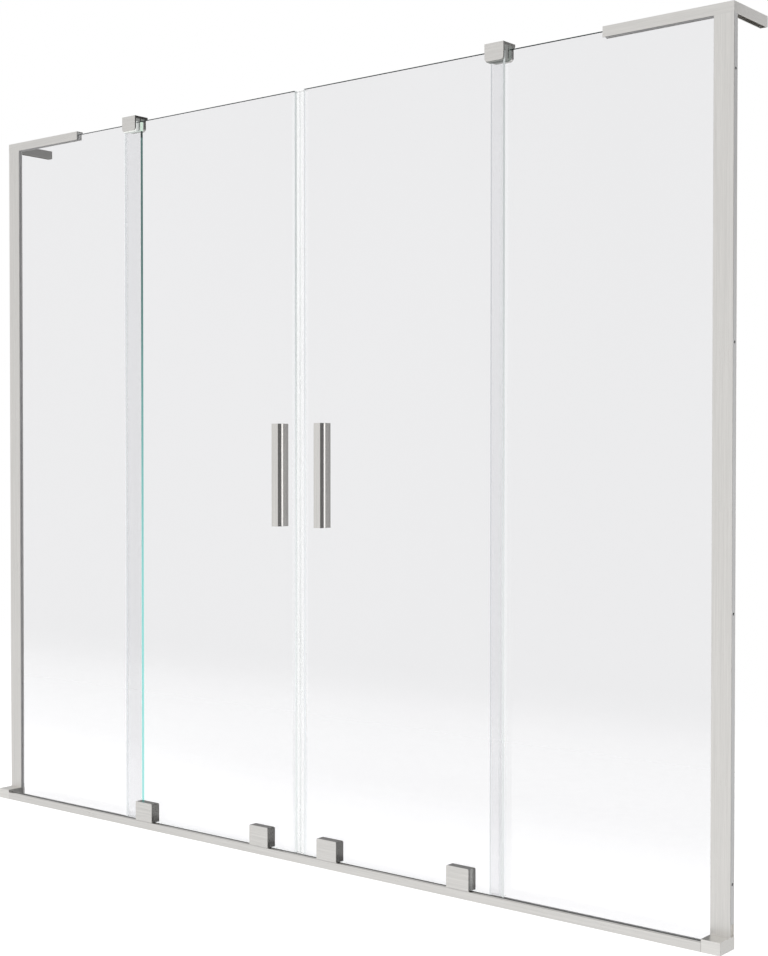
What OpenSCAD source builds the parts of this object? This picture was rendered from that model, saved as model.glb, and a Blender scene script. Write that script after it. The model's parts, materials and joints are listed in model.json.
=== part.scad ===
// Sliding bath screen with two fixed panels and two doors that meet in the middle.
// X runs along the bath rim, Y points away from the viewer, Z is up.
// The origin is the middle of the running rail's underside, where it sits on the rim.
// Every side piece is drawn for the right-hand half and mirrored for the left.

/* [Overall] */
// Width of the whole screen, wall to wall
screen_w = 1826; // [1600:1:2000]
// Height of the corner brackets' top face above the bath rim
screen_h = 1500; // [1300:1:1800]

/* [Glass] */
// Thickness of all four panes
glass_t = 6; // [5:0.5:8]
// Distance from the left wall to the free edge of the left fixed pane
left_fixed_w = 448; // [380:1:480]
// Distance from the right wall to the free edge of the right fixed pane
right_fixed_w = 468; // [380:1:480]
// How far the left door, when closed, laps over its fixed pane
left_overlap = 38; // [24:1:60]
// How far the right door, when closed, laps over its fixed pane
right_overlap = 34; // [24:1:60]
// Free space between a door and the fixed pane behind it
glass_gap = 7.5; // [7:0.5:14]
// Half the width of the seal that joins the two doors
meeting_half = 12; // [10:0.5:16]
// Height of the doors' lower edge above the rim
door_bottom = 9; // [8:0.5:11]
// Height of the fixed panes' lower edge above the rim
fixed_bottom = 3.5; // [3:0.5:5]
// Distance of the doors' top edge below the brackets' top
door_top_drop = 9; // [7.5:0.5:14]
// Distance of the fixed panes' top edge below the brackets' top
fixed_top_drop = 7; // [4:0.5:9]

/* [Running rail] */
// Depth of the rail, front to back
rail_d = 12; // [11:0.5:16]
// Height of the rail
rail_h = 15.5; // [14:0.5:20]
// Width of the sunken track along the rail's top
track_w = 8.6; // [8:0.1:8.8]
// Depth of that track
track_depth = 1; // [0.6:0.1:1.2]
// Depth of the round running groove's floor below the rail's top
groove_depth = 2.5; // [2.2:0.1:2.8]
// Wall of the rail and of the hollow chamber in it
rail_wall = 1.5; // [1.2:0.1:2]
// Height of the slot in the rail's back that the anti-lift toe runs in
slot_h = 3.7; // [3:0.1:4.5]
// Depth of that slot
slot_d = 3.5; // [3:0.1:4]

/* [Posts] */
// Width of a post's front face
post_w = 35.4; // [30:0.2:45]
// Depth of a post, front to back
post_d = 13; // [12.5:0.5:18]
// Wall of the post and bracket profiles
profile_wall = 1.5; // [1.2:0.1:2]
// Depth of the front gasket and wall in front of a fixed pane
glass_inset = 3; // [2.5:0.5:3.5]
// How deep a fixed pane sits in its post
pocket_depth = 11; // [9:0.5:14]
// Radius of the wall screw holes
wall_hole_r = 2.25; // [2:0.25:3]
// Distance of the end wall screw holes from the rim and from the brackets' top
wall_hole_end = 105; // [60:5:300]

/* [Corner brackets] */
// Length of the front arm from the wall
bracket_len = 240; // [150:1:350]
// Depth of the front arm, front to back
bracket_d = 16.5; // [15:0.5:20]
// Length of the return arm along the wall, from the front face
bracket_return = 117.5; // [90:0.5:200]
// Width of the return arm
bracket_arm_w = 13; // [10:0.5:20]
// Height of the bracket section
bracket_h = 18; // [16:1:25]

/* [Corner blocks] */
// Width of a corner block along the rim
corner_w = 34; // [30:0.5:45]
// Depth of a corner block
corner_d = 49; // [47:0.5:60]
// Height of a corner block
corner_h = 21; // [19:0.5:30]

/* [Top guides] */
// Width of a guide block
guide_w = 40.5; // [34:0.5:60]
// Height of a guide block
guide_h = 31; // [27:0.5:40]
// How far a guide block stands above the brackets
guide_rise = 5; // [4:0.5:8]
// Thickness of its top
guide_top_t = 5.5; // [4:0.5:6]
// Thickness of its front wall and its middle web
guide_wall = 3; // [2:0.5:4]
// Thickness of its back wall, which holds the clamp screws
guide_back = 7; // [5:0.5:8]
// How far its top stands out past the back wall
guide_lip = 2; // [0.5:0.5:4]
// Radius of its lower corners
guide_corner_r = 6; // [3:0.5:9]
// Distance from the door's outer edge back to the middle of its guide block
guide_inset = 16.7; // [12:0.1:20]

/* [Rollers] */
// Width of a roller cover
cover_w = 49.5; // [44:0.5:60]
// Depth of a roller cover
cover_d = 21.5; // [20.5:0.5:26]
// Height of a roller cover
cover_h = 39.7; // [38:0.1:46]
// Wall of a roller cover
cover_wall = 1.8; // [1.5:0.1:2]
// Radius along its upper back edge
cover_round = 5; // [4:0.5:10]
// Radius of a running wheel at its tread
wheel_r = 12; // [10:0.5:13]
// Width of a running wheel
wheel_w = 6; // [5:0.5:6.5]
// Radius of the wheel axle
axle_r = 3; // [2.5:0.1:3.5]
// Distance from a door's outer edge to its outer roller
outer_inset = 80; // [60:1:110]
// Distance from the middle to the inner rollers
inner_roller_x = 89; // [85:1:130]

/* [Handles] */
// Width of a handle bar
handle_w = 16.5; // [12:0.5:20]
// Depth of an outer handle bar
handle_d = 11.6; // [9:0.1:14]
// Depth of an inner handle bar
handle_inner_d = 15.4; // [11:0.1:18]
// Length of a handle bar
handle_len = 201; // [150:1:400]
// Distance from the middle to the middle of a handle
handle_x = 55.2; // [44:0.1:55.5]
// Height of the handles' middle above the rim
handle_z = 747.5; // [500:0.5:1000]
// Distance from each end of a handle to its screw
handle_screw_end = 19.5; // [10:0.5:60]

/* [Travel] */
// Space left between an inner handle and the fixed pane's edge when a door is fully open
open_gap = 16.5; // [3:0.5:60]

/* [Hidden] */

LEFT = -1;
RIGHT = 1;
$fn = 48;
nickel = [0.80, 0.79, 0.77];
clear_glass = [0.80, 0.92, 0.89, 0.35];
clear_plastic = [0.90, 0.93, 0.93, 0.6];
nylon = [0.90, 0.91, 0.89];
grey_rubber = [0.30, 0.30, 0.31];
clear_rubber = [0.86, 0.88, 0.87];
pale_magnet = [0.88, 0.88, 0.87];
steel = [0.70, 0.71, 0.73];

// Clip-on seals: wall thickness, and how far a side seal stands out past its door
clip_t = 1;
seal_out = clip_t + 0.1;

// Clearances that the fits share
fit = 0.1;
run_gap = 0.4;
seal_gap = 0.3;
post_gap = 3;
overcut = 1;

// Depths, front to back
rail_front = -rail_d / 2;
rail_back = rail_d / 2;
cover_front = rail_front;
cover_back = cover_front + cover_d;
clamp_pad_t = 2;
door_front = cover_back + clamp_pad_t;
door_back = door_front + glass_t;
fixed_front = door_back + glass_gap;
fixed_back = fixed_front + glass_t;
post_front = fixed_front - glass_inset;
post_back = post_front + post_d;
cavity_front = post_front + profile_wall;
cavity_back = post_back - profile_wall;

// Places along the rim
half_w = screen_w / 2;
post_inner = half_w - post_w;
fixed_outer = post_inner + pocket_depth;
web_x = fixed_outer + 0.9;
cavity_x = web_x + profile_wall;
corner_inner = half_w - corner_w;
function fixed_edge(side) = half_w - (side == LEFT ? left_fixed_w : right_fixed_w);
function reach(side) = fixed_edge(side) + (side == LEFT ? left_overlap : right_overlap);
function guide_x(side) = reach(side) - guide_inset;
function outer_x(side) = reach(side) - outer_inset;
function travel_to_post(side) = post_inner - post_gap - seal_out - reach(side);
function travel_to_handle(side) = fixed_edge(side) - handle_x - handle_w / 2 - open_gap;
travel = min(travel_to_post(LEFT), travel_to_post(RIGHT), travel_to_handle(LEFT), travel_to_handle(RIGHT));

// Heights
bracket_under = screen_h - bracket_h;
door_top = screen_h - door_top_drop;
fixed_top = screen_h - fixed_top_drop;
guide_top = screen_h + guide_rise;
guide_under = guide_top - guide_h;
guide_roof = guide_top - guide_top_t;
cover_under = rail_h + run_gap;
cover_top = cover_under + cover_h;
groove_floor = rail_h - groove_depth;
axle_z = groove_floor + wheel_r + 0.05;

// Running groove and anti-lift slot of the rail
groove_r = wheel_w / 2 + 0.3;
slot_roof = rail_h - 4.3;
slot_floor = slot_roof - slot_h;

// Carriage and clamp
cover_fit = 0.4;
carriage_front = wheel_w / 2 + 0.8;
carriage_back = cover_back - cover_wall - cover_fit;
carriage_half = cover_w / 2 - cover_wall - cover_fit;
carriage_under = cover_under + 1.5;
cam_r = 5;
cam_lift = 1.2;
cam_end = carriage_back - 1.6;
spigot_r = 6;
spigot_z = cover_top - 17;
glass_hole_r = spigot_r + 0.3;
bolt_r = 3;
bolt_end = carriage_front + 2.2;
disc_r = 9;
disc_t = 3.5;
rear_pad_t = 0.7;
toe_half = 8;
toe_t = 2.2;
hook_gap = 1;
hook_t = 3.5;
stop_len = 12;

// Handle details
handle_pad_t = 0.5;
handle_hole_r = 4;
handle_screw_r = 2.8;
handle_pitch = handle_len - 2 * handle_screw_end;

// Guide liner and pads
liner_front_t = 1.1;
guide_front = door_front - run_gap - liner_front_t - guide_wall;
guide_slot_front = guide_front + guide_wall;
guide_pad_t = 1.6;
guide_rear_pad_t = 3;
guide_slot_back = fixed_front - guide_pad_t + fit;
guide_web_front = guide_slot_back - guide_wall;
guide_rear_front = fixed_back + guide_rear_pad_t;
guide_rear = guide_rear_front + guide_back;
guide_screw_r = 2.5;
liner_drop = 1.6;

// Puts a right-hand shape on the side asked for
module on_side(side) {
    if (side == LEFT) mirror([1, 0, 0]) children();
    else children();
}

// Box between two corners
module block(low, high) {
    translate(low) cube(high - low);
}

// Round bar along Y
module bar_y(r, x, z, y0, y1) {
    translate([x, y0, z]) rotate([-90, 0, 0]) cylinder(r = r, h = y1 - y0);
}

// Round bar along X
module bar_x(r, y, z, x0, x1) {
    translate([x0, y, z]) rotate([0, 90, 0]) cylinder(r = r, h = x1 - x0);
}

// Section in Y and Z, drawn out along X
module along_x(x0, x1) {
    translate([x0, 0, 0]) rotate([90, 0, 90]) linear_extrude(x1 - x0) children();
}

// Section in X and Z, drawn out along Y
module along_y(y0, y1) {
    translate([0, y1, 0]) rotate([90, 0, 0]) linear_extrude(y1 - y0) children();
}

// Section in X and Y, drawn out along Z
module along_z(z0, z1) {
    translate([0, 0, z0]) linear_extrude(z1 - z0) children();
}

module rect(low, high) {
    translate(low) square(high - low);
}

// Rectangle with four round corners
module round_rect(low, high, r) {
    rect([low[0] + r, low[1]], [high[0] - r, high[1]]);
    rect([low[0], low[1] + r], [high[0], high[1] - r]);
    for (x = [low[0] + r, high[0] - r], y = [low[1] + r, high[1] - r])
        translate([x, y]) circle(r);
}

// Rail section: sunken track and running groove on top, hollow chamber, toe slot in the back
module rail_section() {
    difference() {
        round_rect([rail_front, 0], [rail_back, rail_h], 0.6);
        rect([-track_w / 2, rail_h - track_depth], [track_w / 2, rail_h + overcut]);
        translate([0, groove_floor + groove_r]) circle(groove_r);
        rail_chamber(0);
        rect([rail_back - slot_d, slot_floor], [rail_back + overcut, slot_roof]);
    }
}

// Hollow of the rail, shrunk by gap for the tongue that plugs into it
module rail_chamber(gap) {
    rect([rail_front + rail_wall + gap, rail_wall + gap],
         [rail_back - slot_d - rail_wall - gap, slot_roof - gap]);
}

module running_rail() {
    color(nickel) along_x(-corner_inner, corner_inner) rail_section();
}

// Buffers in the toe slot that end each door's travel
module rail_stops() {
    color(grey_rubber)
        for (side = [LEFT, RIGHT]) on_side(side) {
            x = outer_x(side) + travel + toe_half + run_gap;
            block([x, rail_back - slot_d + fit, slot_floor + fit],
                  [x + stop_len, rail_back - fit, slot_roof - fit]);
        }
}

module corner_block(side) {
    color(nickel) on_side(side) difference() {
        union() {
            along_z(0, corner_h)
                round_rect([corner_inner, rail_front], [half_w, rail_front + corner_d], 0.8);
            along_x(corner_inner - 15, corner_inner + overcut) rail_chamber(fit);
            block([cavity_x + 1, cavity_front + fit, corner_h - overcut],
                  [half_w - 3, cavity_back - fit, corner_h + 18]);
        }
        block([corner_inner - overcut, fixed_front - seal_gap, fixed_bottom - seal_gap],
              [fixed_outer + seal_gap, fixed_back + seal_gap, corner_h + overcut]);
    }
}

// Holes for the wall screws, four in a column
wall_hole_pitch = (screen_h - 2 * wall_hole_end) / 3;
function wall_hole_heights() = [for (k = [0:3]) wall_hole_end + k * wall_hole_pitch];
profile_screw_heights = [for (k = [0.14, 0.5, 0.86]) screen_h * k];
profile_screw_x = half_w - 11;

module wall_channel(side) {
    base_t = 2;
    leg_t = 1.5;
    color(nickel) on_side(side) difference() {
        along_z(corner_h + 20, bracket_under) difference() {
            rect([cavity_x + 2, cavity_front + seal_gap], [half_w, cavity_back - seal_gap]);
            rect([cavity_x, cavity_front + seal_gap + leg_t],
                 [half_w - base_t, cavity_back - seal_gap - leg_t]);
        }
        for (z = wall_hole_heights())
            bar_x(wall_hole_r, (cavity_front + cavity_back) / 2, z, half_w - base_t - overcut,
                  half_w + overcut);
        for (z = profile_screw_heights)
            bar_y(2, profile_screw_x, z, cavity_back - leg_t - overcut, cavity_back + overcut);
    }
}

module post(side) {
    color(nickel) on_side(side) difference() {
        along_z(corner_h, bracket_under) difference() {
            round_rect([post_inner, post_front], [half_w, post_back], 0.6);
            rect([post_inner - overcut, cavity_front], [web_x, cavity_back]);
            rect([cavity_x, cavity_front], [half_w + overcut, cavity_back]);
        }
        for (z = profile_screw_heights)
            bar_y(2, profile_screw_x, z, cavity_back - overcut, post_back + overcut);
    }
}

// Screws that lock each post on its wall channel once it is set plumb
module profile_screws() {
    color(steel) for (side = [LEFT, RIGHT], z = profile_screw_heights) on_side(side) {
        difference() {
            bar_y(3.5, profile_screw_x, z, post_back, post_back + 2);
            block([profile_screw_x - 2.2, post_back + 1.2, z - 0.5],
                  [profile_screw_x + 2.2, post_back + 3, z + 0.5]);
        }
        bar_y(1.9, profile_screw_x, z, cavity_back - 6, post_back + 0.5);
    }
}

// Rubber channel that grips a pane's edge: front leg, back leg and floor
module glazing_gasket(side) {
    color(grey_rubber) on_side(side) along_z(corner_h, bracket_under) difference() {
        rect([post_inner + 0.2, cavity_front], [web_x, cavity_back]);
        rect([post_inner - overcut, fixed_front], [fixed_outer, fixed_back]);
    }
}

module fixed_glass(side) {
    color(clear_glass) on_side(side)
        block([fixed_edge(side), fixed_front, fixed_bottom], [fixed_outer, fixed_back, fixed_top]);
}

// Outline of the L-shaped bracket in plan, shrunk by inset and lengthened at its open end by extra
module bracket_plan(inset, extra) {
    rect([half_w - bracket_len - extra, post_front + inset],
         [half_w - inset, post_front + bracket_d - inset]);
    rect([half_w - bracket_arm_w + inset, post_front + inset],
         [half_w - inset, post_front + bracket_return - inset]);
}

module top_bracket(side) {
    color(nickel) on_side(side) difference() {
        along_z(bracket_under, screen_h) bracket_plan(0, 0);
        along_z(bracket_under - overcut, screen_h - profile_wall) bracket_plan(profile_wall, overcut);
    }
}

// Rubber channel between a bracket's front arm and the pane's top edge
module bracket_gasket(side) {
    color(grey_rubber) on_side(side)
        along_x(half_w - bracket_len + 1, fixed_outer - 2) difference() {
            rect([cavity_front, bracket_under + 1],
                 [post_front + bracket_d - profile_wall, screen_h - profile_wall]);
            rect([fixed_front, bracket_under], [fixed_back, fixed_top]);
        }
}

// Low channel on the rim under a fixed pane
module base_channel(side) {
    color(nickel) on_side(side) along_x(fixed_edge(side), corner_inner) difference() {
        rect([post_front, 0], [post_back, 6]);
        rect([cavity_front, fixed_bottom - 2], [cavity_back, 6 + overcut]);
    }
}

// Rubber blocks that the fixed panes stand on
module setting_blocks() {
    block_len = 60;
    color(grey_rubber) for (side = [LEFT, RIGHT], place = [0.2, 0.8]) on_side(side) {
        x = fixed_edge(side) + place * (corner_inner - fixed_edge(side)) - block_len / 2;
        block([x, cavity_front, fixed_bottom - 2], [x + block_len, cavity_back, fixed_bottom]);
    }
}

// Low clear dam on the rim under the doorway, butted between the base channels
module threshold_strip() {
    color(clear_plastic)
        along_x(-fixed_edge(LEFT), fixed_edge(RIGHT))
        polygon([[post_front, 0], [post_back, 0], [post_back, 2], [post_back - 3, 3],
                 [post_front + 4, 6], [post_front, 6]]);
}

// Front outline of a guide block: square shoulders, round lower corners
module guide_outline(side, low, high) {
    x0 = guide_x(side) - guide_w / 2;
    x1 = guide_x(side) + guide_w / 2;
    rect([x0, low + guide_corner_r], [x1, high]);
    rect([x0 + guide_corner_r, low], [x1 - guide_corner_r, high]);
    for (x = [x0 + guide_corner_r, x1 - guide_corner_r])
        translate([x, low + guide_corner_r]) circle(guide_corner_r);
}

module top_guide(side) {
    color(nickel) on_side(side) difference() {
        union() {
            along_y(guide_front, guide_rear) guide_outline(side, guide_under, guide_top);
            block([guide_x(side) - guide_w / 2, guide_rear - overcut, guide_roof],
                  [guide_x(side) + guide_w / 2, guide_rear + guide_lip, guide_top]);
        }
        block([guide_x(side) - guide_w, guide_slot_front, guide_under - overcut],
              [guide_x(side) + guide_w, guide_web_front, guide_roof]);
        block([guide_x(side) - guide_w, guide_slot_back, guide_under - overcut],
              [guide_x(side) + guide_w, guide_rear_front, guide_roof]);
        for (x = [-10, 10])
            bar_y(guide_screw_r, guide_x(side) + x, guide_screw_z(), guide_rear_front - overcut,
                  guide_rear + overcut);
    }
}
function guide_screw_z() = (guide_under + fixed_top) / 2;

// Nylon channels in the front slots that the doors' top edges slide through
module guide_liners() {
    color(nylon) for (side = [LEFT, RIGHT]) on_side(side) difference() {
        along_y(guide_slot_front, guide_web_front)
            guide_outline(side, guide_under - liner_drop, guide_roof);
        block([guide_x(side) - guide_w, door_front - run_gap, guide_under - liner_drop - overcut],
              [guide_x(side) + guide_w, door_back + run_gap, door_top + 1]);
    }
}

// Soft clear sleeves that fill the guide blocks' back slots around the fixed panes
module guide_pads() {
    color(clear_rubber) for (side = [LEFT, RIGHT]) on_side(side) difference() {
        along_y(guide_slot_back, guide_rear_front) guide_outline(side, guide_under, guide_roof);
        block([fixed_edge(side), fixed_front, guide_under - overcut],
              [guide_x(side) + guide_w, fixed_back, fixed_top]);
    }
}

module guide_screws() {
    color(steel) for (side = [LEFT, RIGHT], x = [-10, 10]) on_side(side) difference() {
        bar_y(guide_screw_r - 0.05, guide_x(side) + x, guide_screw_z(), guide_rear_front, guide_rear);
        translate([guide_x(side) + x, guide_rear - 2, guide_screw_z()])
            rotate([-90, 0, 0]) cylinder(r = 1.4, h = 2 + overcut, $fn = 6);
    }
}

module door_glass(side) {
    color(clear_glass) on_side(side) difference() {
        block([meeting_half, door_front, door_bottom], [reach(side), door_back, door_top]);
        for (x = [inner_roller_x, outer_x(side)])
            bar_y(glass_hole_r, x, spigot_z, door_front - overcut, door_back + overcut);
        for (k = [-0.5, 0.5])
            bar_y(handle_hole_r, handle_x, handle_z + k * handle_pitch, door_front - overcut,
                  door_back + overcut);
    }
}

// Side section of a roller cover, shrunk by inset, down to the height given
module cover_section(inset, under) {
    r = cover_round - inset;
    y0 = cover_front + inset;
    y1 = cover_back - inset;
    z1 = cover_top - inset;
    rect([y0, under], [y1, z1 - r]);
    rect([y0, under], [y1 - r, z1]);
    translate([y1 - r, z1 - r]) circle(r);
}

// Metal shell over a roller, open below and round along its upper back edge
module roller_cover(side, x) {
    corner_r = 2;
    color(nickel) on_side(side) difference() {
        intersection() {
            along_x(x - cover_w / 2, x + cover_w / 2) cover_section(0, cover_under);
            along_y(cover_front, cover_back) {
                rect([x - cover_w / 2, cover_under], [x + cover_w / 2, cover_top - corner_r]);
                rect([x - cover_w / 2 + corner_r, cover_under],
                     [x + cover_w / 2 - corner_r, cover_top]);
                for (k = [-1, 1])
                    translate([x + k * (cover_w / 2 - corner_r), cover_top - corner_r])
                        circle(corner_r);
            }
        }
        along_x(x - cover_w / 2 + cover_wall, x + cover_w / 2 - cover_wall)
            cover_section(cover_wall, cover_under - overcut);
        bar_y(spigot_r + 0.3, x, spigot_z, cover_back - cover_wall - overcut, cover_back + overcut);
    }
}

// Carriage: body behind the wheel, spigot into the glass, anti-lift hook behind the rail
module carriage(side, x) {
    color(nylon) on_side(side) difference() {
        union() {
            intersection() {
                along_x(x - carriage_half, x + carriage_half)
                    cover_section(cover_wall + cover_fit, carriage_under);
                block([x - cover_w, carriage_front, carriage_under],
                      [x + cover_w, carriage_back, cover_top]);
            }
            bar_y(spigot_r, x, spigot_z, carriage_back - overcut, door_back - 0.5);
            block([x - toe_half, rail_back + hook_gap, slot_roof - hook_gap - toe_t],
                  [x + toe_half, rail_back + hook_gap + hook_t, carriage_under + overcut]);
            block([x - toe_half, rail_back - slot_d + hook_gap, slot_roof - hook_gap - toe_t],
                  [x + toe_half, rail_back + hook_gap + overcut, slot_roof - hook_gap]);
        }
        bar_y(cam_r + 0.05, x, axle_z + cam_lift, carriage_front - overcut, cam_end);
        bar_y(bolt_r + 0.05, x, spigot_z, bolt_end - 0.5, door_back + overcut);
    }
}

// Nylon wheel with a round tread and a ring recess in each side
module wheel(side, x) {
    half = wheel_w / 2;
    color(nylon) on_side(side) translate([x, 0, axle_z]) rotate([-90, 0, 0]) rotate_extrude()
        difference() {
            union() {
                rect([axle_r + 0.05, -half], [wheel_r - half, half]);
                translate([wheel_r - half, 0]) circle(half);
            }
            for (k = [-1, 1])
                translate([wheel_r - half - 1.8, k * half]) square([2.4, 1.6], center = true);
        }
}

// Axle with a head in front of the wheel and a cam that sets the door's height
module axles(side) {
    half = wheel_w / 2;
    color(steel) on_side(side) for (x = [inner_roller_x, outer_x(side)]) {
        bar_y(axle_r + 1.2, x, axle_z, -half - 0.9, -half - 0.2);
        bar_y(axle_r, x, axle_z, -half - 0.5, carriage_front + 2);
        bar_y(axle_r + 1.2, x, axle_z, half + 0.2, carriage_front);
        bar_y(cam_r, x, axle_z + cam_lift, carriage_front, cam_end - 0.1);
    }
}

// Clamp bolts with a wide flat head behind the glass
module clamp_bolts(side) {
    y0 = door_back + rear_pad_t;
    color(nickel) on_side(side) for (x = [inner_roller_x, outer_x(side)]) difference() {
        union() {
            bar_y(disc_r, x, spigot_z, y0, y0 + disc_t);
            bar_y(bolt_r, x, spigot_z, bolt_end, y0 + 0.5);
        }
        translate([x, y0 + disc_t - 2.5, spigot_z])
            rotate([-90, 0, 0]) cylinder(r = 3, h = 2.5 + overcut, $fn = 6);
    }
}

// Soft clear pads between metal and glass at the roller clamps, and under the handle bars
module glass_gaskets(side) {
    color(clear_rubber) on_side(side) {
        for (x = [inner_roller_x, outer_x(side)]) {
            difference() {
                block([x - 20, cover_back, cover_under + 5], [x + 20, door_front, cover_top - 3]);
                bar_y(spigot_r + 0.1, x, spigot_z, cover_back - overcut, door_front + overcut);
            }
            difference() {
                bar_y(disc_r, x, spigot_z, door_back, door_back + rear_pad_t);
                bar_y(bolt_r + 0.6, x, spigot_z, door_back - overcut, door_back + 2);
            }
        }
        difference() {
            union() {
                for (y = [door_front - handle_pad_t, door_back])
                    block([handle_x - handle_w / 2 + 0.4, y, handle_z - handle_len / 2 + 0.4],
                          [handle_x + handle_w / 2 - 0.4, y + handle_pad_t, handle_z + handle_len / 2 - 0.4]);
                for (k = [-0.5, 0.5])
                    bar_y(handle_hole_r - 0.1, handle_x, handle_z + k * handle_pitch,
                          door_front - handle_pad_t, door_back + handle_pad_t);
            }
            for (k = [-0.5, 0.5])
                bar_y(handle_screw_r + 0.1, handle_x, handle_z + k * handle_pitch, door_front - 2,
                      door_back + 2);
        }
    }
}

// Upright bar, round-edged, from one depth to the other
module handle_bar(y0, y1) {
    along_z(handle_z - handle_len / 2, handle_z + handle_len / 2)
        round_rect([handle_x - handle_w / 2, y0], [handle_x + handle_w / 2, y1], 0.8);
}

module handle_outer(side) {
    y1 = door_front - handle_pad_t;
    color(nickel) on_side(side) difference() {
        handle_bar(y1 - handle_d, y1);
        for (k = [-0.5, 0.5])
            bar_y(handle_screw_r + 0.05, handle_x, handle_z + k * handle_pitch, y1 - 8, y1 + overcut);
    }
}

module handle_inner(side) {
    y0 = door_back + handle_pad_t;
    color(nickel) on_side(side) difference() {
        handle_bar(y0, y0 + handle_inner_d);
        for (k = [-0.5, 0.5]) {
            bar_y(handle_screw_r + 0.2, handle_x, handle_z + k * handle_pitch, y0 - overcut,
                  y0 + handle_inner_d + overcut);
            bar_y(5.2, handle_x, handle_z + k * handle_pitch, y0 + handle_inner_d - 4,
                  y0 + handle_inner_d + overcut);
        }
    }
}

// Screws that draw the two bars of a handle together through the glass
module handle_screws(side) {
    y1 = door_back + handle_pad_t + handle_inner_d;
    color(steel) on_side(side) for (k = [-0.5, 0.5]) {
        z = handle_z + k * handle_pitch;
        difference() {
            union() {
                bar_y(5, handle_x, z, y1 - 4, y1 - 0.5);
                bar_y(handle_screw_r, handle_x, z, door_front - handle_pad_t - 7, y1 - 3.5);
            }
            translate([handle_x, y1 - 2.5, z])
                rotate([-90, 0, 0]) cylinder(r = 2.2, h = 3, $fn = 6);
        }
    }
}

// Clip and magnet chamber on the edge where the two doors meet
seal_z0 = door_bottom + 3;
seal_z1 = door_top - 3;
clip_len = 6;
side_seal_grip = 7;
magnet_x0 = seal_gap / 2 + 1.2;
magnet_x1 = meeting_half - 4;

module magnetic_seal(side) {
    y0 = door_front - fit - clip_t;
    y1 = door_back + fit + clip_t;
    color(clear_plastic) on_side(side) along_z(seal_z0, seal_z1) difference() {
        union() {
            round_rect([seal_gap / 2, y0], [meeting_half, y1], 0.8);
            rect([meeting_half - 1, y0], [meeting_half + clip_len, y1]);
        }
        rect([meeting_half - fit, door_front - fit],
             [meeting_half + clip_len + overcut, door_back + fit]);
        rect([magnet_x0, door_front], [magnet_x1, door_back]);
    }
}

module magnet(side) {
    color(pale_magnet) on_side(side)
        block([magnet_x0 + fit, door_front + fit, seal_z0], [magnet_x1 - fit, door_back - fit, seal_z1]);
}

// Drip seal clipped on a door's lower edge, with a lip that hangs behind it
module bottom_seal(side) {
    leg = 5;
    x0 = meeting_half + clip_len + 1;
    x1 = reach(side) - side_seal_grip - 0.5;
    color(clear_plastic) on_side(side) along_x(x0, x1) {
        difference() {
            rect([door_front - fit - clip_t, door_bottom - 1.5],
                 [door_back + fit + clip_t, door_bottom + leg]);
            rect([door_front - fit, door_bottom - fit], [door_back + fit, door_bottom + leg + overcut]);
        }
        rect([door_back - 0.2, door_bottom - 6], [door_back + fit + clip_t, door_bottom - 1]);
    }
}

// Upright clear seal on one door's outer edge, with a fin that nearly meets the fixed pane
module side_seal(side) {
    x1 = reach(side);
    color(clear_plastic) on_side(side) along_z(seal_z0, guide_under - liner_drop - 1) {
        difference() {
            rect([x1 - side_seal_grip, door_front - fit - clip_t], [x1 + fit + clip_t, door_back + fit + clip_t]);
            rect([x1 - side_seal_grip - overcut, door_front - fit], [x1 + fit, door_back + fit]);
        }
        rect([x1 + fit, door_back], [x1 + fit + clip_t, fixed_front - seal_gap]);
    }
}

running_rail();
rail_stops();
corner_block(LEFT);  // corner_block_left
corner_block(RIGHT);  // corner_block_right
wall_channel(LEFT);  // wall_channel_left
wall_channel(RIGHT);  // wall_channel_right
post(LEFT);  // post_left
post(RIGHT);  // post_right
profile_screws();
glazing_gasket(LEFT);  // glazing_gasket_left
glazing_gasket(RIGHT);  // glazing_gasket_right
fixed_glass(LEFT);  // fixed_glass_left
fixed_glass(RIGHT);  // fixed_glass_right
top_bracket(LEFT);  // top_bracket_left
top_bracket(RIGHT);  // top_bracket_right
bracket_gasket(LEFT);  // bracket_gasket_left
bracket_gasket(RIGHT);  // bracket_gasket_right
base_channel(LEFT);  // base_channel_left
base_channel(RIGHT);  // base_channel_right
setting_blocks();
threshold_strip();
top_guide(LEFT);  // top_guide_left
top_guide(RIGHT);  // top_guide_right
guide_liners();
guide_pads();
guide_screws();
door_glass(LEFT);  // door_glass_left
door_glass(RIGHT);  // door_glass_right
roller_cover(LEFT, outer_x(LEFT));  // roller_cover_left_outer
roller_cover(LEFT, inner_roller_x);  // roller_cover_left_inner
roller_cover(RIGHT, inner_roller_x);  // roller_cover_right_inner
roller_cover(RIGHT, outer_x(RIGHT));  // roller_cover_right_outer
carriage(LEFT, outer_x(LEFT));  // carriage_left_outer
carriage(LEFT, inner_roller_x);  // carriage_left_inner
carriage(RIGHT, inner_roller_x);  // carriage_right_inner
carriage(RIGHT, outer_x(RIGHT));  // carriage_right_outer
wheel(LEFT, outer_x(LEFT));  // wheel_left_outer
wheel(LEFT, inner_roller_x);  // wheel_left_inner
wheel(RIGHT, inner_roller_x);  // wheel_right_inner
wheel(RIGHT, outer_x(RIGHT));  // wheel_right_outer
axles(LEFT);  // axles_left
axles(RIGHT);  // axles_right
clamp_bolts(LEFT);  // clamp_bolts_left
clamp_bolts(RIGHT);  // clamp_bolts_right
glass_gaskets(LEFT);  // glass_gaskets_left
glass_gaskets(RIGHT);  // glass_gaskets_right
handle_outer(LEFT);  // handle_outer_left
handle_outer(RIGHT);  // handle_outer_right
handle_inner(LEFT);  // handle_inner_left
handle_inner(RIGHT);  // handle_inner_right
handle_screws(LEFT);  // handle_screws_left
handle_screws(RIGHT);  // handle_screws_right
magnetic_seal(LEFT);  // magnetic_seal_left
magnetic_seal(RIGHT);  // magnetic_seal_right
magnet(LEFT);  // magnet_left
magnet(RIGHT);  // magnet_right
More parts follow.
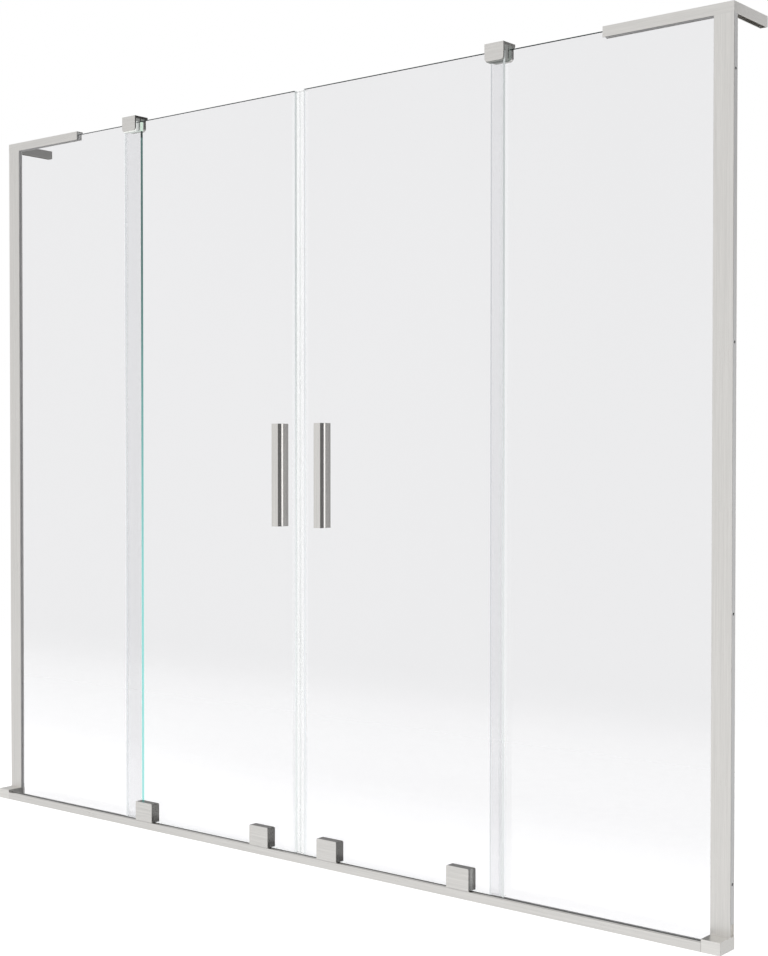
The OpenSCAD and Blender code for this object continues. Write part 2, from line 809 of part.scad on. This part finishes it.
bottom_seal(LEFT);  // bottom_seal_left
bottom_seal(RIGHT);  // bottom_seal_right
side_seal(LEFT);  // side_seal_left
side_seal(RIGHT);  // side_seal_right
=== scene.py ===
import json
import math

import bpy
from mathutils import Matrix, Vector

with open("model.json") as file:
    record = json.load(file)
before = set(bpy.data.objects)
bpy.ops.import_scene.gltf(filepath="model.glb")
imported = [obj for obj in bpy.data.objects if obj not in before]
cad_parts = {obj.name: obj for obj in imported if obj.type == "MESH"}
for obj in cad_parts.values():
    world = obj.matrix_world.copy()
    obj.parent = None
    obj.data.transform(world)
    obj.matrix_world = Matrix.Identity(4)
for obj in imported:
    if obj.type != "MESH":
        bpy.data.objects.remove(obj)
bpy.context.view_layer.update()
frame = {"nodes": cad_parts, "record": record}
nodes = frame["nodes"]
scene = bpy.context.scene


# The camera at the photograph's viewpoint: metres, degrees, and pixels of the photograph
EYE = Vector((2.0703, -2.2486, 0.7853))
YAW = math.radians(39.36)
PITCH = math.radians(1.03)
ROLL = math.radians(0.02)
FOCAL_PX = 1582.0
PHOTO_HEIGHT_PX = 956
CENTRE_ROW_PX = 484.2
SENSOR_MM = 36
CLIP_START, CLIP_END = 0.05, 100


def make_camera():
    up = Vector((0, 0, 1))
    level = Vector((-math.sin(YAW), math.cos(YAW), 0))
    right = Vector((math.cos(YAW), math.sin(YAW), 0))
    look = math.cos(PITCH) * level - math.sin(PITCH) * up
    top = math.cos(PITCH) * up + math.sin(PITCH) * level
    camera_x = math.cos(ROLL) * right + math.sin(ROLL) * top
    camera_y = -math.sin(ROLL) * right + math.cos(ROLL) * top
    data = bpy.data.cameras.new("camera")
    data.sensor_width = SENSOR_MM
    data.lens = FOCAL_PX * SENSOR_MM / PHOTO_HEIGHT_PX
    data.shift_y = (CENTRE_ROW_PX - PHOTO_HEIGHT_PX / 2) / PHOTO_HEIGHT_PX
    data.clip_start = CLIP_START
    data.clip_end = CLIP_END
    camera = bpy.data.objects.new("camera", data)
    rows = [(camera_x[axis], camera_y[axis], -look[axis], EYE[axis]) for axis in range(3)]
    camera.matrix_world = Matrix((*rows, (0, 0, 0, 1)))
    scene.collection.objects.link(camera)
    scene.camera = camera


class Graph:
    """Short calls for building one node tree."""

    def __init__(self, tree):
        tree.nodes.clear()
        self.tree = tree

    def add(self, kind, inputs=None, **settings):
        node = self.tree.nodes.new(kind)
        for setting, value in settings.items():
            setattr(node, setting, value)
        for socket, value in (inputs or {}).items():
            self.feed(node.inputs[socket], value)
        return node

    def feed(self, socket, value):
        if isinstance(value, bpy.types.NodeSocket):
            self.tree.links.new(value, socket)
        else:
            socket.default_value = value

    def calculate(self, operation, first, second=0.0):
        inputs = {0: first, 1: second}
        return self.add("ShaderNodeMath", inputs, operation=operation).outputs[0]

    def plus(self, first, second):
        return self.calculate("ADD", first, second)

    def times(self, first, second):
        return self.calculate("MULTIPLY", first, second)

    def above(self, value, limit):
        """1 where the value is over the limit, otherwise 0."""
        return self.calculate("GREATER_THAN", value, limit)

    def below(self, value, limit):
        """1 where the value is under the limit, otherwise 0."""
        return self.calculate("LESS_THAN", value, limit)

    def ramp(self, value, start, end, low=0.0, high=1.0, smooth=True):
        """From low, where the value is at start, to high, where it is at end."""
        kind = "SMOOTHSTEP" if smooth else "LINEAR"
        inputs = dict(enumerate((value, start, end, low, high)))
        return self.add("ShaderNodeMapRange", inputs, interpolation_type=kind).outputs[0]

    def between(self, share, none, full):
        """From none, where the share is 0, to full, where it is 1."""
        return self.ramp(share, 0.0, 1.0, none, full, smooth=False)

    def mix(self, share, none, full):
        """From one colour, where the share is 0, to another, where it is 1."""
        return self.add("ShaderNodeMix", {0: share, 6: none, 7: full}, data_type="RGBA").outputs[2]

    def split(self, vector):
        """Its parts along x, y and z."""
        return self.add("ShaderNodeSeparateXYZ", {"Vector": vector}).outputs

    def place(self):
        """Place on the surface in the shared frame, in metres."""
        return self.add("ShaderNodeTexCoord").outputs["Object"]

    def noise(self, place, density, detail, rough=0.5):
        """Noise whose density is given per metre along x, y and z."""
        spread = self.add("ShaderNodeMapping", {"Vector": place, "Scale": density}).outputs[0]
        inputs = {"Vector": spread, "Scale": 1.0, "Detail": detail, "Roughness": rough}
        return self.add("ShaderNodeTexNoise", inputs).outputs["Fac"]

    def follow(self, noise, low=0.0, high=1.0):
        """From low to high with a noise, over the range that it mostly takes."""
        return self.ramp(noise, NOISE_LOW, NOISE_HIGH, low, high)

    def bump(self, height, strength, distance):
        inputs = {"Strength": strength, "Distance": distance, "Height": height}
        return self.add("ShaderNodeBump", inputs).outputs[0]

    def light_path(self):
        return self.add("ShaderNodeLightPath").outputs

    def is_plain(self, path):
        """1 on a ray from the camera that has met nothing, or has only passed through glass."""
        met = self.plus(path["Glossy Depth"], path["Diffuse Depth"])
        return self.below(met, HALF)

    def is_sharp_mirror(self, path):
        """1 on a ray that a mirror-smooth surface has just reflected."""
        return self.times(path["Is Singular Ray"], path["Is Reflection Ray"])


NOISE_LOW, NOISE_HIGH = 0.3, 0.7
# Between 0 and 1, to tell a count or a switch that is off from one that is on
HALF = 0.5


def new_material(name):
    material = bpy.data.materials.new(name)
    material.use_nodes = True
    graph = Graph(material.node_tree)
    output = graph.add("ShaderNodeOutputMaterial").inputs[0]
    shader = graph.add("ShaderNodeBsdfPrincipled")
    graph.feed(output, shader.outputs[0])
    return material, graph, shader, output


def rgb(colour, factor=1.0):
    """A colour, made darker or lighter by a factor."""
    return (*(min(1.0, part * factor) for part in colour), 1.0)


def heights(name):
    """Lowest and highest point of a CAD node, in metres."""
    levels = [vertex.co.z for vertex in nodes[name].data.vertices]
    return min(levels), max(levels)


DOOR_TOP = heights("door_glass_left")[1]
FIXED_TOP = heights("fixed_glass_left")[1]
GUIDE_UNDER = heights("top_guide_left")[0]
RAIL_TOP = heights("running_rail")[1]
# Half the height over which one tone changes into the next
TONE_STEP = 0.001


# Brushed metal: density of its lines and patches per metre
FINE_LINES = 2600
BROAD_LINES = 420
PATCHES = (9, 9, 9)
# How the lines run: the small share is the direction along them
UPRIGHT = (1, 1, 0.012)
ALONG = (0.012, 1, 1)
ACROSS = (1, 1, 1)
FINE_SHARE, BROAD_SHARE = 0.6, 0.4
METAL_SPREAD = 0.07
LINE_DEPTH, LINE_STRENGTH = 0.00006, 0.35
# How far its roughness goes up and down in patches and from line to line
PATCH_ROUGH, LINE_ROUGH = 0.03, 0.04


def brushed(name, colour, rough=0.33, grain=ALONG, track=False):
    """Satin metal with fine drawn lines. With track, painted shade darkens the back of the rail's sunken
    track and painted light lightens the rail's top behind it.
    """
    material, graph, shader, _ = new_material(name)
    place = graph.place()
    fine = graph.noise(place, tuple(FINE_LINES * share for share in grain), detail=3, rough=0.65)
    broad = graph.noise(place, tuple(BROAD_LINES * share for share in grain), detail=2)
    patch = graph.noise(place, PATCHES, detail=2)
    mark = graph.plus(graph.times(fine, FINE_SHARE), graph.times(broad, BROAD_SHARE))
    dark, light = rgb(colour, 1 - METAL_SPREAD), rgb(colour, 1 + METAL_SPREAD)
    tone = graph.mix(graph.follow(mark), dark, light)
    if track:
        tone = paint_track_shade_and_light(graph, place, tone)
    graph.feed(shader.inputs["Base Color"], tone)
    shader.inputs["Metallic"].default_value = 1.0
    patchy = graph.follow(patch, rough - PATCH_ROUGH, rough + PATCH_ROUGH)
    lined = graph.follow(fine, -LINE_ROUGH, LINE_ROUGH)
    graph.feed(shader.inputs["Roughness"], graph.plus(patchy, lined))
    graph.feed(shader.inputs["Normal"], graph.bump(mark, LINE_STRENGTH, LINE_DEPTH))
    return material


# Painted shade on the rail's top, front to back: it starts and ends at these depths, and reaches this far
# down
PAINTED_SHADE_FRONT, PAINTED_SHADE_BACK = 0.0026, 0.0045
PAINTED_SHADE_REACH = 0.0026
# Colours of the painted shade in the track and of the painted light on the rail's top behind it
PAINTED_TRACK_SHADE = (0.27, 0.27, 0.265)
PAINTED_TRACK_LIGHT = (1.0, 0.99, 0.97)


def paint_track_shade_and_light(graph, place, tone):
    """Paint shade on the back of the rail's sunken track, and paint light on the rail's top behind it."""
    _, depth, height = graph.split(place)
    top = graph.above(height, RAIL_TOP - PAINTED_SHADE_REACH)
    painted_shade_share = graph.above(depth, PAINTED_SHADE_FRONT)
    behind = graph.above(depth, PAINTED_SHADE_BACK)
    # Painted shade in the back of the track, then painted light on the rail's top behind it
    tone = graph.mix(graph.times(top, painted_shade_share), tone, rgb(PAINTED_TRACK_SHADE))
    return graph.mix(graph.times(top, behind), tone, rgb(PAINTED_TRACK_LIGHT))


GLASS_TINT = (0.90, 0.90, 0.91)
GLASS_IOR = 1.52
GLASS_FILM = (2.2, 2.2, 1.1)
FILM_TINT = 0.994
# A near-black line of painted shade covers the top of the pane's faces, this high
DARK_TOP_LINE = 0.0009
DARK_TOP_TONE = (0.03, 0.045, 0.045)


def pane(name, top):
    """Faces of float glass: clear, faintly uneven, with a near-black line of painted shade along the top."""
    material, graph, shader, _ = new_material(name)
    place = graph.place()
    height = graph.split(place)[2]
    film = graph.noise(place, GLASS_FILM, detail=3)
    clear = graph.mix(graph.follow(film), rgb(GLASS_TINT, FILM_TINT), rgb(GLASS_TINT))
    # Painted shade: the top of the faces is near-black and lets no light through
    dark_top = graph.above(height, top - DARK_TOP_LINE)
    graph.feed(shader.inputs["Base Color"], graph.mix(dark_top, clear, rgb(DARK_TOP_TONE)))
    graph.feed(shader.inputs["Transmission Weight"], graph.calculate("SUBTRACT", 1.0, dark_top))
    shader.inputs["Roughness"].default_value = 0.0
    shader.inputs["IOR"].default_value = GLASS_IOR
    return material


# A pane's edge changes from its low colour to its high one between these heights, as painted light and shade
LOW_COLOUR_TO, HIGH_COLOUR_FROM = 0.35, 1.30
EDGE_STREAKS = (300, 300, 3.0)
STREAK_LOW, STREAK_HIGH = 0.35, 0.65
STREAK_SHARE, STREAK_TINT = 0.08, 0.8
EDGE_SMOOTHEST, EDGE_ROUGHEST = 0.35, 0.45
# Share of an edge's glow, which is painted light, that reflections show
MIRRORED_GLOW = 0.2


def pane_edge(name, high, low, bands=(), glow=0.85):
    """Edge of a pane, lit from within by a glow of painted light, with colours by height in painted light and
    shade. Bands are pairs of the height that one starts at and its colour.
    """
    material, graph, shader, _ = new_material(name)
    place = graph.place()
    height = graph.split(place)[2]
    streak = graph.noise(place, EDGE_STREAKS, detail=3)
    tone = graph.mix(graph.ramp(height, LOW_COLOUR_TO, HIGH_COLOUR_FROM), rgb(low), rgb(high))
    for start, colour in bands:
        tone = graph.mix(graph.ramp(height, start - TONE_STEP, start + TONE_STEP), tone, rgb(colour))
    streaked = graph.ramp(streak, STREAK_LOW, STREAK_HIGH, 0.0, STREAK_SHARE)
    tone = graph.mix(streaked, tone, rgb(low, STREAK_TINT))
    graph.feed(shader.inputs["Base Color"], tone)
    # The edge's glow is painted light
    graph.feed(shader.inputs["Emission Color"], tone)
    plain = graph.is_plain(graph.light_path())
    graph.feed(shader.inputs["Emission Strength"], graph.between(plain, MIRRORED_GLOW * glow, glow))
    graph.feed(shader.inputs["Roughness"], graph.follow(streak, EDGE_SMOOTHEST, EDGE_ROUGHEST))
    shader.inputs["Specular IOR Level"].default_value = 0.0
    return material


# Cloudy pieces have one tone up to this height and, above it, another one right of this place, made darker as
# painted shade
LOW_UNDER, RIGHT_FROM = 1.4, 0.2
HAZE = (80, 80, 12)
HAZE_TINT = 0.96
HAZE_ROUGH = 0.5
HAZE_GLOSS = 0.2
# How far the body's thickness goes up and down in clouds
BODY_CHANGE = 0.03
# Share of the tone left under a guide's roof, as painted shade
PAINTED_ROOF_SHADE = 0.28
# How far the roughness of plastic and rubber goes up and down
ROUGH_CHANGE = 0.05


def hazy(name, colour, body, glow, right=1.0, lower=None):
    """Cloudy plastic: a see-through body whose glow is painted light. Painted shade makes it darker under a
    guide's roof.

    The factor right darkens the upper pieces at the right with painted shade, and lower is the colour of the
    low pieces.
    """
    material, graph, shader, _ = new_material(name)
    place = graph.place()
    across, _, height = graph.split(place)
    at_right = graph.above(across, RIGHT_FROM)
    is_low = graph.below(height, LOW_UNDER)
    cloud = graph.noise(place, HAZE, detail=3)
    tone = graph.mix(graph.follow(cloud), rgb(colour, HAZE_TINT), rgb(colour))
    # Painted shade on the upper pieces at the right
    tone = graph.mix(at_right, tone, rgb(colour, right))
    tone = graph.mix(is_low, tone, rgb(lower or colour))
    # Painted shade under a guide's roof
    under_roof = graph.ramp(height, FIXED_TOP - TONE_STEP, FIXED_TOP + TONE_STEP)
    tone = graph.mix(under_roof, tone, rgb(colour, PAINTED_ROOF_SHADE))
    graph.feed(shader.inputs["Base Color"], tone)
    rough = graph.follow(cloud, HAZE_ROUGH - ROUGH_CHANGE, HAZE_ROUGH + ROUGH_CHANGE)
    graph.feed(shader.inputs["Roughness"], rough)
    graph.feed(shader.inputs["Alpha"], graph.follow(cloud, body - BODY_CHANGE, body + BODY_CHANGE))
    # The glow is painted light
    graph.feed(shader.inputs["Emission Color"], tone)
    shader.inputs["Emission Strength"].default_value = glow
    shader.inputs["Specular IOR Level"].default_value = HAZE_GLOSS
    return material


SEAL_CLOUDS = (40, 40, 3)
SEAL_TINT = 0.99


def clear_plastic(name, colour, ior):
    """Clear soft plastic, slightly cloudy in places."""
    material, graph, shader, _ = new_material(name)
    cloud = graph.noise(graph.place(), SEAL_CLOUDS, detail=2)
    tone = graph.mix(graph.follow(cloud), rgb(colour, SEAL_TINT), rgb(colour))
    graph.feed(shader.inputs["Base Color"], tone)
    shader.inputs["Transmission Weight"].default_value = 1.0
    shader.inputs["Roughness"].default_value = 0.0
    shader.inputs["IOR"].default_value = ior
    return material


SKIN_GRAIN = (900, 900, 900)
STAINS = (30, 30, 30)
STAIN_DARK, STAIN_LIGHT = 0.94, 1.04
SKIN_DEPTH, SKIN_STRENGTH = 0.00005, 0.15


def moulded(name, colour, rough=0.5, glow=0.0):
    """Moulded nylon or rubber with a fine skin. A glow lifts rubber in the shade to the photograph's tone."""
    material, graph, shader, _ = new_material(name)
    place = graph.place()
    skin = graph.noise(place, SKIN_GRAIN, detail=2)
    stain = graph.noise(place, STAINS, detail=3)
    tone = graph.mix(graph.follow(stain), rgb(colour, STAIN_DARK), rgb(colour, STAIN_LIGHT))
    graph.feed(shader.inputs["Base Color"], tone)
    graph.feed(shader.inputs["Emission Color"], tone)
    shader.inputs["Emission Strength"].default_value = glow
    uneven = graph.follow(skin, rough - ROUGH_CHANGE, rough + ROUGH_CHANGE)
    graph.feed(shader.inputs["Roughness"], uneven)
    graph.feed(shader.inputs["Normal"], graph.bump(skin, SKIN_STRENGTH, SKIN_DEPTH))
    return material


NICKEL = (0.80, 0.785, 0.76)
# The same nickel, made paler as painted light, for block_metal
PAINTED_LIGHT_NICKEL = (0.87, 0.855, 0.825)
GREY_METAL = (0.74, 0.74, 0.74)
STEEL = (0.70, 0.70, 0.71)
CLEAR_SEAL = (0.985, 0.99, 0.99)
PALE_MAGNET = (0.86, 0.86, 0.86)
GREENISH_PAD = (0.76, 0.82, 0.77)
WARM_PAD = (0.92, 0.91, 0.89)
LINER = (0.74, 0.76, 0.735)
DARK_NYLON = (0.45, 0.45, 0.44)
WHITE_NYLON = (0.82, 0.82, 0.80)
GREY_RUBBER = (0.62, 0.62, 0.62)

materials = {
    "rail_metal": brushed("rail_metal", NICKEL, track=True),
    "block_metal": brushed("block_metal", PAINTED_LIGHT_NICKEL),
    "post_metal": brushed("post_metal", NICKEL, grain=UPRIGHT),
    "channel_metal": brushed("channel_metal", GREY_METAL, rough=0.35, grain=UPRIGHT),
    "bracket_metal": brushed("bracket_metal", NICKEL),
    "guide_metal": brushed("guide_metal", NICKEL, rough=0.2),
    "cover_metal": brushed("cover_metal", NICKEL, rough=0.2),
    "handle_metal": brushed("handle_metal", NICKEL, rough=0.22, grain=UPRIGHT),
    "clamp_metal": brushed("clamp_metal", NICKEL),
    "screw_steel": brushed("screw_steel", STEEL, rough=0.3, grain=ACROSS),
    "fixed_glass": pane("fixed_glass", FIXED_TOP),
    "door_glass": pane("door_glass", DOOR_TOP),
    "seal_clear": clear_plastic("seal_clear", CLEAR_SEAL, ior=1.06),
    "magnet_pale": hazy("magnet_pale", PALE_MAGNET, body=0.25, glow=0.35),
    "pad_clear": hazy("pad_clear", GREENISH_PAD, body=0.9, glow=0.45, right=0.42, lower=WARM_PAD),
    "liner_nylon": hazy("liner_nylon", LINER, body=0.97, glow=0.6, right=0.30),
    "carriage_nylon": moulded("carriage_nylon", DARK_NYLON),
    "wheel_nylon": moulded("wheel_nylon", WHITE_NYLON, rough=0.3),
    "rubber_grey": moulded("rubber_grey", GREY_RUBBER, rough=0.7, glow=0.12),
}

# Edge colours are painted light and shade: darker high up than low down, near-black on top, and different for
# each way an edge faces
TOP_EDGE = (0.03, 0.05, 0.05)
FREE_EDGE_HIGH, FREE_EDGE_LOW = (0.055, 0.125, 0.115), (0.29, 0.75, 0.70)
PALE_EDGE_HIGH, PALE_EDGE_LOW = (0.50, 0.525, 0.525), (0.72, 0.745, 0.745)
BACK_EDGE_HIGH, BACK_EDGE_LOW = (0.72, 0.74, 0.75), (0.84, 0.87, 0.88)
# Painted shadow makes the left fixed pane's free edge black just under its guide, and painted light makes it
# light green inside it
SHADOW_UNDER_GUIDE = 0.014
GUIDE_SHADOW, GUIDE_GLOW = (0.004, 0.005, 0.005), (0.60, 0.74, 0.62)
guide_bands = ((GUIDE_UNDER - SHADOW_UNDER_GUIDE, GUIDE_SHADOW), (GUIDE_UNDER, GUIDE_GLOW))

edge_materials = [
    pane_edge("edge_top", TOP_EDGE, TOP_EDGE),
    pane_edge("edge_free", FREE_EDGE_HIGH, FREE_EDGE_LOW, bands=guide_bands),
    pane_edge("edge_pale", PALE_EDGE_HIGH, PALE_EDGE_LOW, glow=0.75),
    pane_edge("edge_back", BACK_EDGE_HIGH, BACK_EDGE_LOW, glow=0.88),
]
# A pane's materials by their number on its mesh: its own, and then edge_materials in order
PANE_FACE, EDGE_TOP, EDGE_FREE, EDGE_PALE, EDGE_BACK = range(1 + len(edge_materials))

slot_of = {part["node"]: part["material_slot"] for part in frame["record"]["subparts"]}
PANES = ("fixed_glass", "door_glass")
# Width of the small rounding on a material's edges, in metres
ROUNDING = {
    "rail_metal": 0.0005,
    "block_metal": 0.0008,
    "post_metal": 0.0004,
    "bracket_metal": 0.0005,
    "guide_metal": 0.0006,
    "cover_metal": 0.0005,
    "handle_metal": 0.0004,
    "clamp_metal": 0.0005,
    "fixed_glass": 0.0005,
    "door_glass": 0.0005,
}
ROUNDING_STEPS = 2
SHARP_ANGLE = math.radians(40)
# A face looks along an axis where that part of its normal is over this
FACING = 0.5


def edge_of(name, normal):
    """Which look a pane's face has: its clear sides, its top, its free edge or its other edges."""
    if abs(normal.y) > FACING:
        return PANE_FACE
    if normal.z > FACING:
        return EDGE_TOP
    if name == "fixed_glass_left" and normal.x > FACING:
        return EDGE_FREE
    return EDGE_PALE if normal.x > FACING else EDGE_BACK


def round_edges(node, width):
    rounding = node.modifiers.new("soft_edges", "BEVEL")
    rounding.width = width
    rounding.segments = ROUNDING_STEPS
    rounding.limit_method = "ANGLE"
    rounding.angle_limit = SHARP_ANGLE


def dress(name, node):
    """Give a CAD node the material of its slot, a pane's edges their own, and its edges their rounding."""
    slot = slot_of[name]
    is_pane = slot in PANES
    mesh = node.data
    mesh.materials.clear()
    for material in [materials[slot], *(edge_materials if is_pane else [])]:
        mesh.materials.append(material)
    for face in mesh.polygons:
        face.material_index = edge_of(name, face.normal) if is_pane else 0
    if slot in ROUNDING:
        round_edges(node, ROUNDING[slot])


for name, node in nodes.items():
    dress(name, node)


# The studio, by direction. A span is where a tone starts to change and where the change ends, as parts
# of a direction of length 1: across to the right, in depth to the back, and in height.
FRONT_ACROSS = (-1.0, -0.2)
FRONT_LEFT, FRONT_RIGHT = 0.77, 0.88
BACK_DEPTH = (-0.15, 0.25)
BACK = 0.62
BRIGHT_ACROSS, BRIGHT_DEPTH = (0.05, 0.25), (0.25, 0.5)
BRIGHT = 1.08
DIM_ACROSS, DIM_DEPTH = (0.44, 0.51), (-0.40, 0.0)
DIM_RISE, DIM_FALL = (-0.25, 0.0), (0.0, 0.16)
DIM_BELOW, DIM_LEVEL, DIM_ABOVE = 0.19, 0.44, 0.02
FAR_RIGHT_ACROSS, FAR_RIGHT_GAIN = (0.74, 0.82), 1.7
HEIGHT_SPAN = (-0.5, 0.4)
LOW_GAIN, HIGH_GAIN = 1.02, 0.89
UNDERFOOT_SPAN, UNDERFOOT_GAIN = (-0.95, -0.6), 0.7


def soft_light(graph, across, depth, height):
    """What soft reflections and diffuse light see.

    The front is light and the back is grey, with a bright part right of its middle. The right-hand side
    is dim, and darkest above.
    """
    front = graph.ramp(across, *FRONT_ACROSS, FRONT_LEFT, FRONT_RIGHT, smooth=False)
    light = graph.between(graph.ramp(depth, *BACK_DEPTH), front, BACK)
    bright_share = graph.times(graph.ramp(across, *BRIGHT_ACROSS), graph.ramp(depth, *BRIGHT_DEPTH))
    rise = graph.ramp(height, *DIM_RISE, DIM_BELOW, DIM_LEVEL)
    fall = graph.ramp(height, *DIM_FALL, DIM_LEVEL, DIM_ABOVE)
    far_right = graph.ramp(across, *FAR_RIGHT_ACROSS, 1.0, FAR_RIGHT_GAIN)
    dim = graph.times(graph.calculate("MINIMUM", rise, fall), far_right)
    dim_share = graph.times(graph.ramp(across, *DIM_ACROSS), graph.ramp(depth, *DIM_DEPTH))
    light = graph.between(bright_share, light, BRIGHT)
    light = graph.between(dim_share, light, dim)
    light = graph.times(light, graph.ramp(height, *HEIGHT_SPAN, LOW_GAIN, HIGH_GAIN, smooth=False))
    return graph.times(light, graph.ramp(height, *UNDERFOOT_SPAN, UNDERFOOT_GAIN, 1.0))


CEILING_SPAN, CEILING = (0.35, 0.75), 0.9
FAR_LEFT_ACROSS = (-0.80, -0.50)
FAR_LEFT, DARK_ROOM = 0.65, 0.05


def sharp_light(graph, across, height):
    """What sharp reflections see: a dark room with a light ceiling and a light far left."""
    ceiling = graph.times(graph.ramp(height, *CEILING_SPAN), CEILING)
    far_left = graph.ramp(across, *FAR_LEFT_ACROSS, FAR_LEFT, DARK_ROOM, smooth=False)
    return graph.calculate("MAXIMUM", ceiling, far_left)


# Reflected light that has passed through glass on its way sees this share of the studio
THROUGH_GLASS = 0.45
# The background is this bright behind more than 3 glass faces, which is two panes
TWO_PANES, BEHIND_TWO_PANES = 3.5, 1.07


def make_world():
    """White studio. The brightness depends on the direction: across, in depth and in height."""
    world = bpy.data.worlds.new("studio")
    world.use_nodes = True
    graph = Graph(world.node_tree)
    direction = graph.add("ShaderNodeTexCoord").outputs["Generated"]
    across, depth, height = graph.split(direction)
    path = graph.light_path()
    soft = soft_light(graph, across, depth, height)
    reflected = graph.above(path["Glossy Depth"], HALF)
    through = graph.times(path["Is Transmission Ray"], reflected)
    soft = graph.times(soft, graph.between(through, 1.0, THROUGH_GLASS))
    sharp = sharp_light(graph, across, height)
    indirect = graph.between(graph.is_sharp_mirror(path), soft, sharp)
    two_panes = graph.above(path["Transmission Depth"], TWO_PANES)
    backdrop = graph.between(two_panes, 1.0, BEHIND_TWO_PANES)
    level = graph.between(graph.is_plain(path), indirect, backdrop)
    white = graph.add("ShaderNodeBackground", {"Color": (1, 1, 1, 1), "Strength": level})
    output = graph.add("ShaderNodeOutputWorld").inputs[0]
    graph.feed(output, white.outputs[0])
    scene.world = world


# The floor, in metres, and its tones
FLOOR_SIZE = 24
FLOOR_HEIGHT = -0.0004
FLOOR_SPECKS = (40, 40, 40)
FLOOR_DARK, FLOOR_LIGHT = (0.49, 0.49, 0.49), (0.51, 0.51, 0.51)
FLOOR_ROUGH = 0.9
# Distance in front of or behind the rail at which the floor is gone, and up to which it is whole
GONE_IN_VIEW, WHOLE_IN_VIEW = 2.1, 0.3
GONE_IN_MIRROR, WHOLE_IN_MIRROR = 2.3, 0.2
# Its glow, far and near, and in sharp reflections
FAR_FROM, NEAR_TO = 0.8, 0.05
FAR_GLOW, NEAR_GLOW, MIRROR_GLOW = 0.72, 0.92, 1.3


def floor_material():
    """Pale and lit from within. It shows only on plain rays and in sharp reflections, near the rail."""
    material, graph, shader, output = new_material("pale_floor")
    place = graph.place()
    speck = graph.noise(place, FLOOR_SPECKS, detail=2)
    tone = graph.mix(graph.follow(speck), rgb(FLOOR_DARK), rgb(FLOOR_LIGHT))
    graph.feed(shader.inputs["Base Color"], tone)
    shader.inputs["Roughness"].default_value = FLOOR_ROUGH
    shader.inputs["Specular IOR Level"].default_value = 0.0
    away = graph.calculate("ABSOLUTE", graph.split(place)[1])
    path = graph.light_path()
    mirrored = graph.is_sharp_mirror(path)
    in_view = graph.times(graph.is_plain(path), graph.ramp(away, GONE_IN_VIEW, WHOLE_IN_VIEW))
    mirror_share = graph.ramp(away, GONE_IN_MIRROR, WHOLE_IN_MIRROR, smooth=False)
    shown = graph.calculate("MAXIMUM", in_view, graph.times(mirrored, mirror_share))
    glow = graph.ramp(away, FAR_FROM, NEAR_TO, FAR_GLOW, NEAR_GLOW)
    shader.inputs["Emission Color"].default_value = (1, 1, 1, 1)
    graph.feed(shader.inputs["Emission Strength"], graph.between(mirrored, glow, MIRROR_GLOW))
    clear = graph.add("ShaderNodeBsdfTransparent").outputs[0]
    fade = graph.add("ShaderNodeMixShader", {0: shown, 1: clear, 2: shader.outputs[0]})
    graph.feed(output, fade.outputs[0])
    return material


def make_floor():
    """Pale floor that fades out far from the object."""
    bpy.ops.mesh.primitive_plane_add(size=FLOOR_SIZE, location=(0, 0, FLOOR_HEIGHT))
    floor = bpy.context.object
    floor.name = "floor"
    floor.data.materials.append(floor_material())


LAMP_PLACE = Vector((-0.5, -1.0, 4.5))
LAMP_TARGET = Vector((0, 0, 0.4))
LAMP_SIZE = 4
LAMP_WATTS = 60


def make_lamp():
    """Large soft light above, which reflections don't show."""
    data = bpy.data.lights.new("top_soft", "AREA")
    data.shape = "RECTANGLE"
    data.size = LAMP_SIZE
    data.size_y = LAMP_SIZE
    data.energy = LAMP_WATTS
    lamp = bpy.data.objects.new("top_soft", data)
    lamp.location = LAMP_PLACE
    lamp.rotation_euler = (LAMP_TARGET - LAMP_PLACE).to_track_quat("-Z", "Y").to_euler()
    lamp.visible_glossy = False
    scene.collection.objects.link(lamp)


make_camera()
make_world()
make_floor()
make_lamp()
scene.view_settings.view_transform = "Standard"
